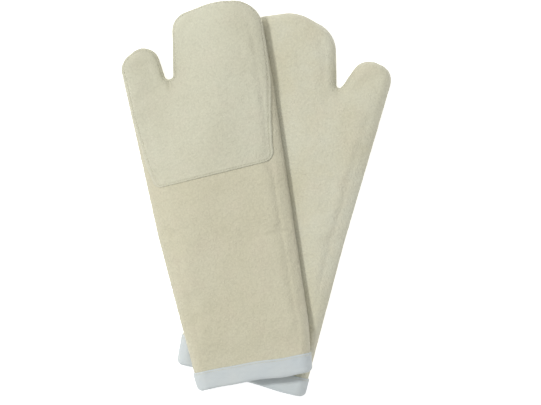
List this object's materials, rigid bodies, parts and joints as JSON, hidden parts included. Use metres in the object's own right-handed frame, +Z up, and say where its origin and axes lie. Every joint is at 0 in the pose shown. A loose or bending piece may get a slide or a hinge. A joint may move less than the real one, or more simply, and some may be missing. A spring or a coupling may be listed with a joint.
{
  "type": "cryogenic gloves",
  "caption": "Pair of elbow-length padded terry mitts with palm patches and bound cuffs, lying crossed at the cuffs.",
  "frame": {"origin": "centre of the pair's bounding box, on the bench that it lies on", "axes": "+Y from the cuffs towards the fingertips, +X to the right seen from above, +Z up from the bench"},
  "size_m": [0.3946, 0.5774, 0.0596],
  "materials": {
    "terry": "looped cotton terry, cream",
    "terry_patch": "looped cotton terry, lighter cream",
    "insulation": "polyester batting, white",
    "lining": "brushed woven lining, pale grey",
    "binding_tape": "plain woven cotton tape, white",
    "thread": "polyester sewing thread, white"
  },
  "bodies": {
    "lower_mitt": {"lower_palm_shell": "terry", "lower_back_shell": "terry", "lower_palm_patch": "terry_patch", "lower_palm_insulation": "insulation", "lower_back_insulation": "insulation", "lower_palm_lining": "lining", "lower_back_lining": "lining", "lower_cuff_binding": "binding_tape", "lower_side_seam_thread": "thread", "lower_lining_seam_thread": "thread", "lower_patch_stitching": "thread", "lower_binding_stitching": "thread"},
    "upper_mitt": {"upper_palm_shell": "terry", "upper_back_shell": "terry", "upper_palm_patch": "terry_patch", "upper_palm_insulation": "insulation", "upper_back_insulation": "insulation", "upper_palm_lining": "lining", "upper_back_lining": "lining", "upper_cuff_binding": "binding_tape", "upper_side_seam_thread": "thread", "upper_lining_seam_thread": "thread", "upper_patch_stitching": "thread", "upper_binding_stitching": "thread"}
  },
  "joints": [
    {"name": "lift_off", "type": "slide", "parent": "lower_mitt", "child": "upper_mitt", "axis": [0, 0, 1], "range_m": [0, 0.15]}
  ]
}
